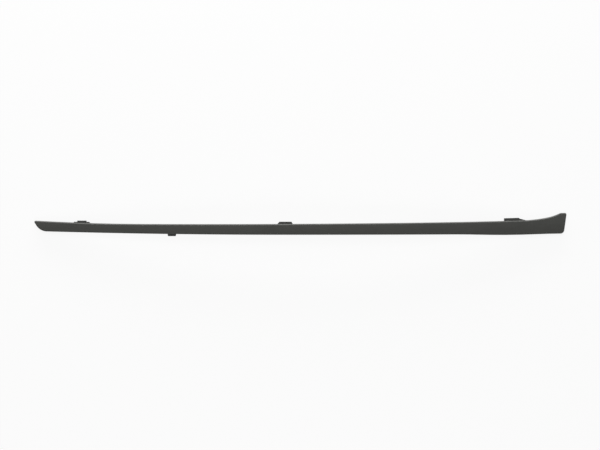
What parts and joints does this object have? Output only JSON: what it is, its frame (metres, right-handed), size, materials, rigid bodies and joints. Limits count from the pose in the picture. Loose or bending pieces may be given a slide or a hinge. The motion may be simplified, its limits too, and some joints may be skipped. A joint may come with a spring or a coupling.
{
  "type": "bumper trim strip",
  "caption": "Long slim moulded plastic strip with a slanted blade end and a flared end, small edge tabs, and ribs, locating pins and snap hooks on its hollow back",
  "frame": {"origin": "centre of the bounding box at its base, on the floor the strip lies on", "axes": "+X along the strip to its flared end, +Y across the strip to the flared edge, +Z out of the face"},
  "size_m": [1.2001, 0.0508, 0.0374],
  "materials": {
    "plastic": "fine grained, matt, dark grey"
  },
  "bodies": {
    "root": {"trim_strip": "plastic"}
  },
  "joints": []
}
